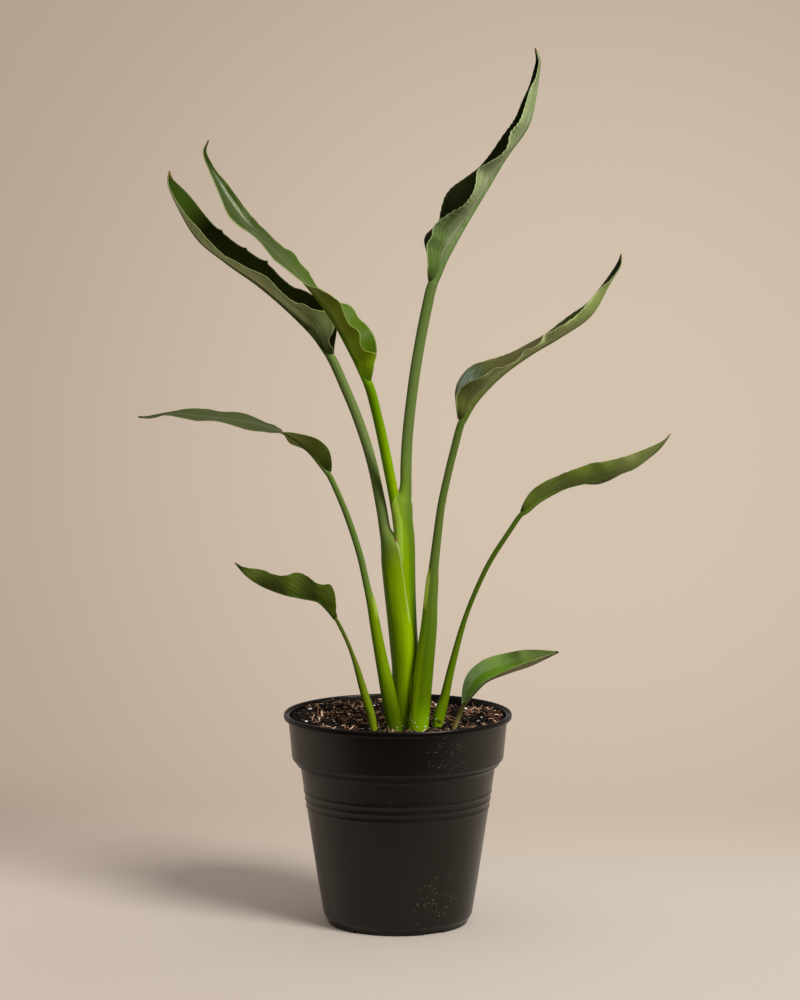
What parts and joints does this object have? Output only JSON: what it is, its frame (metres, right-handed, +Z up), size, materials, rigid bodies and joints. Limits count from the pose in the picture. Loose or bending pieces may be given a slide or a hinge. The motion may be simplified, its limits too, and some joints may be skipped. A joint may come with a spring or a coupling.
{
  "type": "potted bird of paradise",
  "caption": "Potted bird of paradise: folded paddle leaves on long clasping stalks, rising from soil in a tapered nursery pot with a deep collar and beaded rim.",
  "frame": {"origin": "middle of the pot's foot, on the surface that it stands on", "axes": "+Z up, -Y towards the front that the picture shows, +X to the right"},
  "size_m": [0.393, 0.17, 0.6487],
  "materials": {
    "pot": "satin moulded black plastic, dusty, with fine scuffs",
    "soil": "loose dark coir and bark with white perlite",
    "rhizome": "matt, fleshy",
    "petiole": "smooth and waxy, grey-green above and bright yellow-green at the sheaths",
    "blade": "glossy dark green above, duller grey-green below, finely veined"
  },
  "bodies": {
    "root": {"pot": "pot", "soil": "soil", "rhizome": "rhizome", "petiole_tall_left": "petiole", "blade_tall_left": "blade", "petiole_twisted_left": "petiole", "blade_twisted_left": "blade", "petiole_tallest_right": "petiole", "blade_tallest_right": "blade", "petiole_right": "petiole", "blade_right": "blade", "petiole_low_right": "petiole", "blade_low_right": "blade", "petiole_drooping_left": "petiole", "blade_drooping_left": "blade", "petiole_low_left": "petiole", "blade_low_left": "blade", "petiole_small_right": "petiole", "blade_small_right": "blade"}
  },
  "joints": []
}
